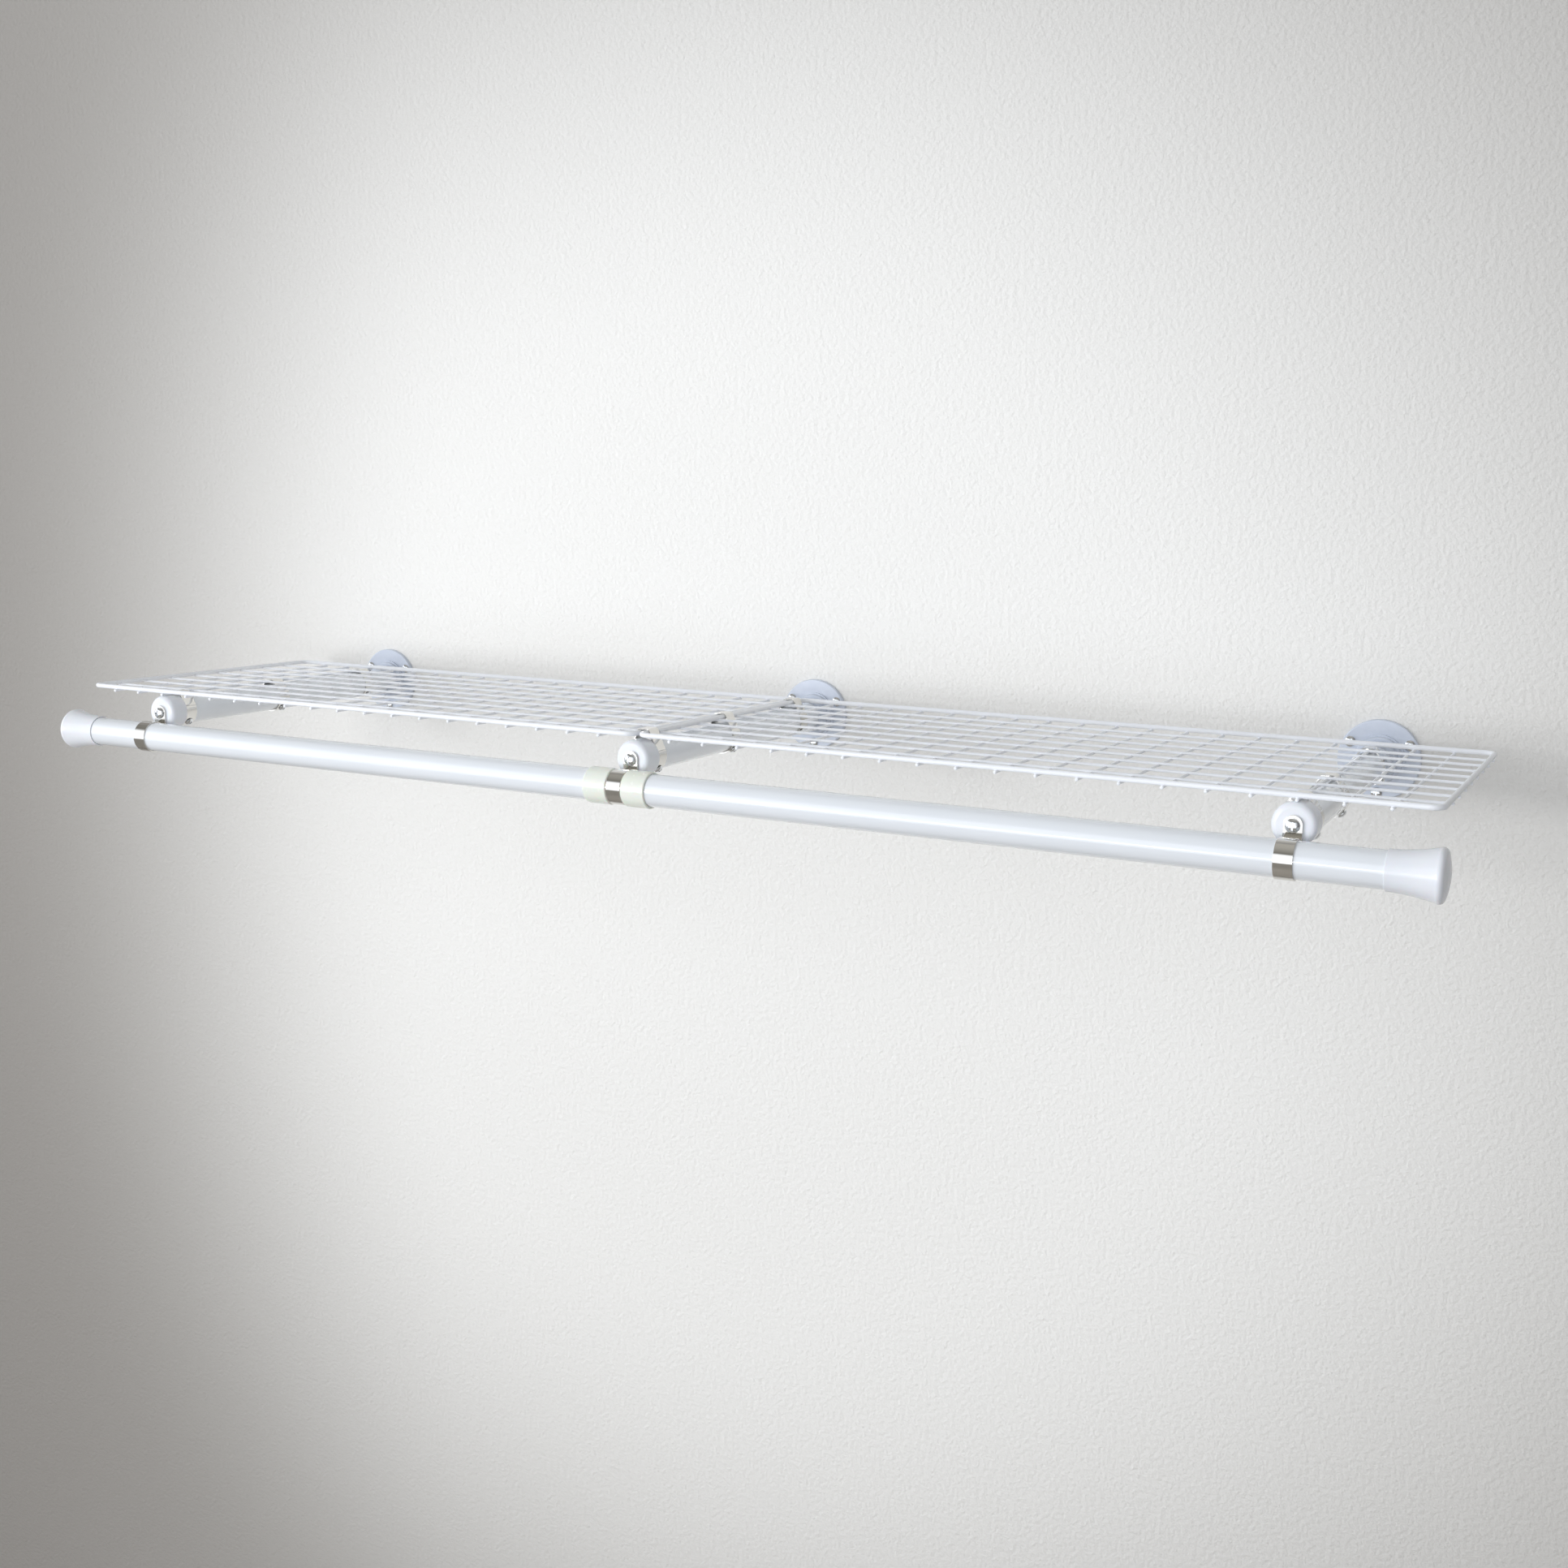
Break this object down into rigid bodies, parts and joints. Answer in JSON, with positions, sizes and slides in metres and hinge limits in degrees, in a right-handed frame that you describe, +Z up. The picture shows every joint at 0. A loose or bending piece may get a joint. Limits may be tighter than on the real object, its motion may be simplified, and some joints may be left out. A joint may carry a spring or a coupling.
{
  "type": "wall shelf with hanging rod",
  "caption": "Wall shelf of wire panels on tube arms with wall flanges, and a round clothes rod strapped under the front of the arms.",
  "frame": {"origin": "centre of the back face of the middle wall flange, on the wall plane", "axes": "+X along the wall to the right, +Y into the wall, +Z up"},
  "size_m": [1.216, 0.3793, 0.0703],
  "materials": {
    "flange_metal": "satin cast and turned",
    "white_tube": "glossy white enamel",
    "white_plastic": "glossy moulded",
    "cream_plastic": "glossy moulded, ivory",
    "white_wire": "white dipped coating",
    "nickel_strip": "bright nickel plate",
    "bright_screw": "bright zinc plate",
    "dark_screw": "dark oxide"
  },
  "bodies": {
    "shelf": {"left_flange": "flange_metal", "middle_flange": "flange_metal", "right_flange": "flange_metal", "left_wall_screws": "bright_screw", "middle_wall_screws": "bright_screw", "right_wall_screws": "bright_screw", "left_set_screw": "dark_screw", "middle_set_screw": "dark_screw", "right_set_screw": "dark_screw", "left_arm": "white_tube", "middle_arm": "white_tube", "right_arm": "white_tube", "left_cap": "white_plastic", "middle_cap": "white_plastic", "right_cap": "white_plastic", "left_rod_strap": "nickel_strip", "middle_rod_strap": "nickel_strip", "right_rod_strap": "nickel_strip", "left_strap_screw": "bright_screw", "middle_strap_screw": "bright_screw", "right_strap_screw": "bright_screw", "left_panel_frame": "white_wire", "left_long_wires": "white_wire", "left_cross_wires": "white_wire", "right_panel_frame": "white_wire", "right_long_wires": "white_wire", "right_cross_wires": "white_wire", "left_front_clip": "nickel_strip", "left_mid_clip": "nickel_strip", "left_back_clip": "nickel_strip", "middle_front_clip": "nickel_strip", "middle_mid_clip": "nickel_strip", "middle_back_clip": "nickel_strip", "right_front_clip": "nickel_strip", "right_mid_clip": "nickel_strip", "right_back_clip": "nickel_strip", "left_clip_screws": "bright_screw", "middle_clip_screws": "bright_screw", "right_clip_screws": "bright_screw"},
    "hanging_rod": {"left_rod_tube": "white_tube", "right_rod_tube": "white_tube", "rod_coupling": "cream_plastic", "left_rod_plug": "white_plastic", "right_rod_plug": "white_plastic"}
  },
  "joints": [
    {"name": "rod_turn", "type": "hinge", "parent": "shelf", "child": "hanging_rod", "pos_m": [0, -0.33126, -0.0198], "axis": [1, 0, 0], "continuous": true}
  ]
}
